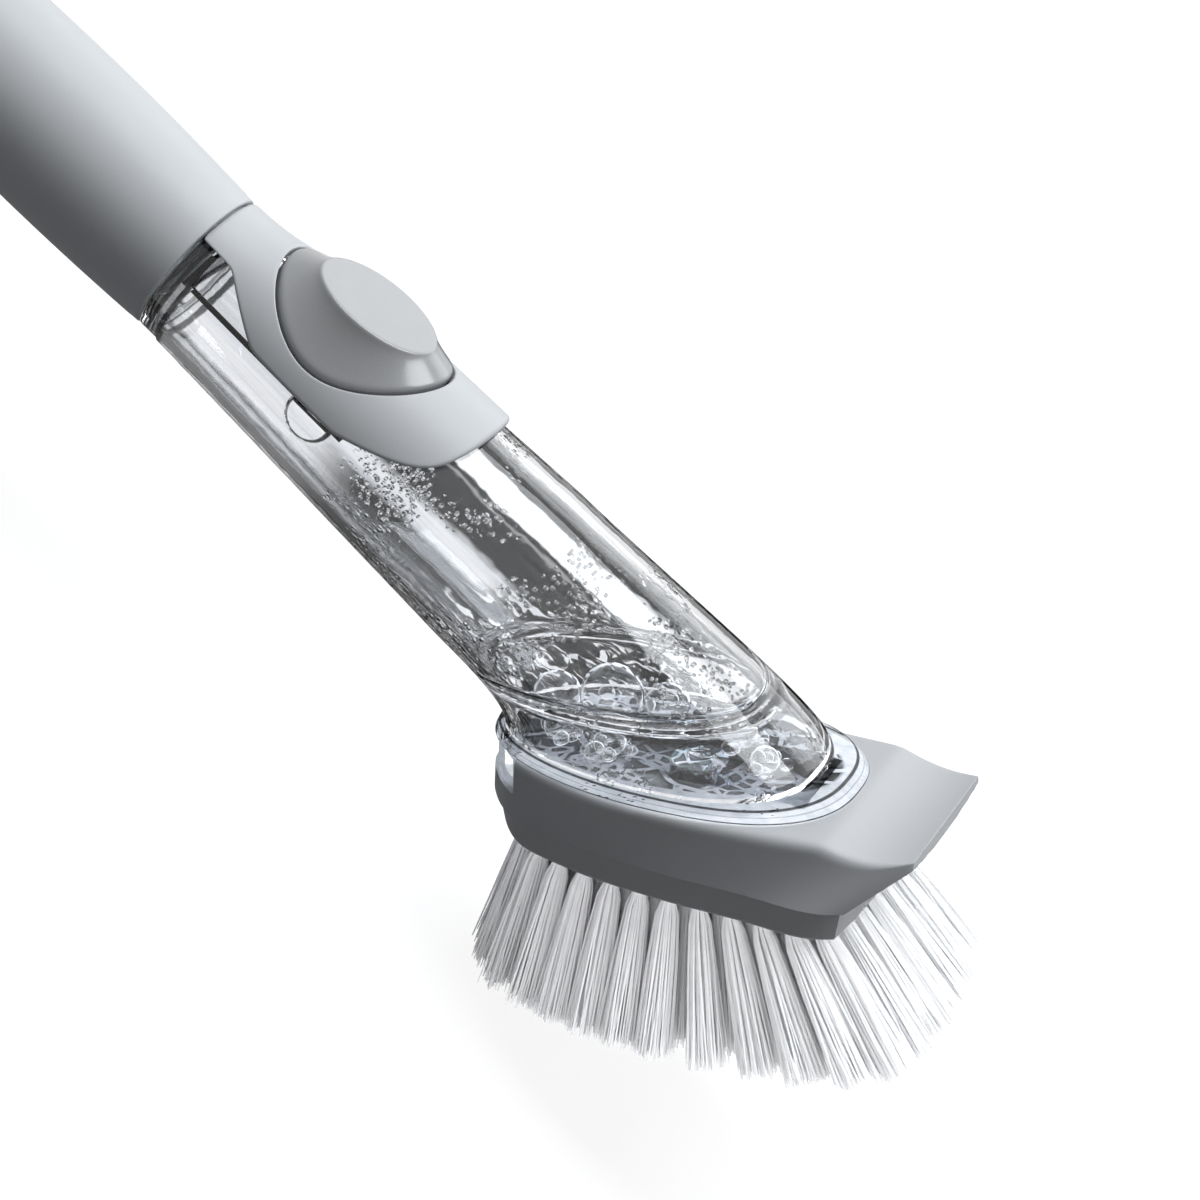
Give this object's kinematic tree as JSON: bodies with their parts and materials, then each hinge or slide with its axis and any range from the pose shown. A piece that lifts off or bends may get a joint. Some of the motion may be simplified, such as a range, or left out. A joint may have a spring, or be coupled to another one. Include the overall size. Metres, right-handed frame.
{
  "type": "dish wand",
  "caption": "Soap-dispensing dish brush: hollow screw-on grip, clear tapered reservoir with a push-button pump, and an angled slide-off brush head with a straight scraper edge.",
  "frame": {"origin": "centre of the hanging hole, on the handle's axis", "axes": "+X along the handle towards the brush head, +Z along the hanging hole towards the button's side, +Y across"},
  "size_m": [0.2919, 0.0572, 0.0918],
  "materials": {
    "handle_grey": "moulded, soft satin",
    "bezel_grey": "moulded, soft satin",
    "button_grey": "moulded, fine texture",
    "head_grey": "moulded, soft satin",
    "plate_grey": "moulded, soft satin",
    "clear": "polished, see-through",
    "silicone": "soft, slightly milky",
    "nylon": "drawn filaments",
    "staple_wire": "cut wire"
  },
  "bodies": {
    "reservoir": {"reservoir_body": "clear", "reservoir_base": "clear", "outlet_valve": "silicone", "valve_retainer": "clear", "button_bezel": "bezel_grey", "pump_bulb": "silicone", "bulb_clamp": "bezel_grey"},
    "seal": {"neck_seal": "silicone"},
    "handle": {"handle_shell": "handle_grey"},
    "button": {"push_button": "button_grey"},
    "head": {"head_frame": "head_grey", "port_gasket": "silicone", "tuft_plate": "plate_grey", "outer_tufts": "nylon", "inner_tufts": "nylon", "tuft_staples": "staple_wire"}
  },
  "joints": [
    {"name": "seal_lift", "type": "slide", "parent": "reservoir", "child": "seal", "axis": [-1, 0, 0], "range_m": [0, 0.01]},
    {"name": "handle_turn", "type": "hinge", "parent": "seal", "child": "handle", "pos_m": [0.084, 0, 0], "axis": [-1, 0, 0], "range_deg": [0, 720]},
    {"name": "button_press", "type": "slide", "parent": "reservoir", "child": "button", "axis": [0, 0, -1], "range_m": [0, 0.0035], "stiffness_N_per_m": 1200, "springref_m": -0.001, "deforming": ["pump_bulb"]},
    {"name": "head_slide", "type": "slide", "parent": "reservoir", "child": "head", "axis": [0.7976, 0, 0.6032], "range_m": [0, 0.06]}
  ],
  "couplings": [
    {"joint": "seal_lift", "follows": "handle_turn", "m_per_rad": 0.00079577}
  ]
}
